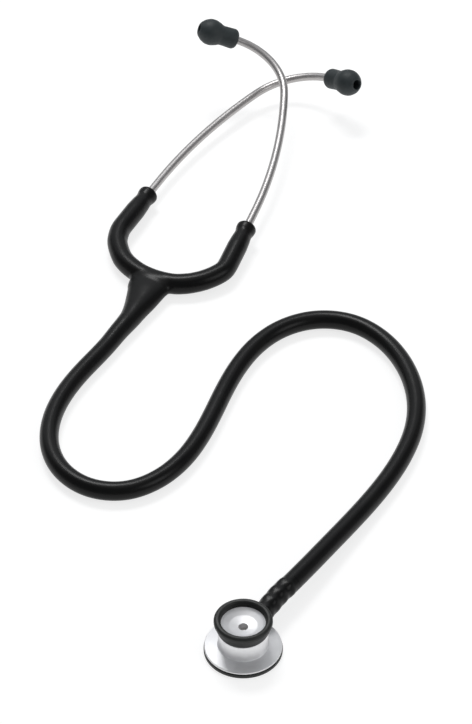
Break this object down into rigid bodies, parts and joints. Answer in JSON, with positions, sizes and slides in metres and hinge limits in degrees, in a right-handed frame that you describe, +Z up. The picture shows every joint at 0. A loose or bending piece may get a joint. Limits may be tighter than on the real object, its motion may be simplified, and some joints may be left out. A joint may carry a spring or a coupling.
{
  "type": "stethoscope",
  "caption": "Stethoscope with a two-sided chestpiece on a swivelling stem, a curved hose with a knobbed grip, a sprung Y-shaped headset and angled ear tubes with soft tips.",
  "frame": {"origin": "centre of the diaphragm, at the surface the stethoscope lies on", "axes": "+Z up, away from the surface; +Y from the chestpiece towards the headset and ear tips; +X to the right when looking along +Y"},
  "size_m": [0.1736, 0.4041, 0.0449],
  "materials": {
    "black_vinyl": "satin black moulded vinyl",
    "rim_rubber": "satin black",
    "soft_tip": "soft matt dark slate",
    "polished_steel": "polished stainless steel",
    "turned_steel": "finely turned satin steel",
    "spring_steel": "bright rolled spring steel",
    "plated_brass": "nickel plated brass",
    "seal_rubber": "matt black nitrile",
    "diaphragm_resin": "thin semi-matt epoxy-glass disc"
  },
  "bodies": {
    "hose_and_yoke": {"yoke": "black_vinyl", "left_arm_bend": "black_vinyl", "right_arm_bend": "black_vinyl", "leaf_spring": "spring_steel", "hose": "black_vinyl", "hose_grip": "black_vinyl", "stem": "plated_brass", "stem_seal": "seal_rubber", "stem_retaining_ring": "spring_steel", "detent_ball": "spring_steel", "detent_spring": "spring_steel"},
    "chestpiece": {"chestpiece_body": "turned_steel", "bell_rim": "rim_rubber", "diaphragm": "diaphragm_resin", "diaphragm_rim": "rim_rubber"},
    "left_binaural": {"left_arm_sleeve": "black_vinyl", "left_spring_clip": "spring_steel", "left_ear_tube": "polished_steel", "left_ear_tip": "soft_tip"},
    "right_binaural": {"right_arm_sleeve": "black_vinyl", "right_spring_clip": "spring_steel", "right_ear_tube": "polished_steel", "right_ear_tip": "soft_tip"}
  },
  "joints": [
    {"name": "chestpiece_swivel", "type": "hinge", "parent": "hose_and_yoke", "child": "chestpiece", "pos_m": [0, 0, 0.009], "axis": [0.5299, 0.848, 0], "continuous": true},
    {"name": "left_spread", "type": "hinge", "parent": "hose_and_yoke", "child": "left_binaural", "pos_m": [-0.05977, 0.25959, 0.00579], "axis": [-0.0238, -0.0466, 0.9986], "range_deg": [0, 40], "stiffness_Nm_per_rad": 0.4, "deforming": ["left_arm_bend", "leaf_spring"]},
    {"name": "right_spread", "type": "hinge", "parent": "hose_and_yoke", "child": "right_binaural", "pos_m": [-0.01344, 0.23598, 0.00579], "axis": [0.0238, 0.0466, -0.9986], "range_deg": [0, 40], "deforming": ["right_arm_bend", "leaf_spring"]}
  ],
  "couplings": [
    {"joint": "right_spread", "follows": "left_spread", "ratio": 1}
  ]
}
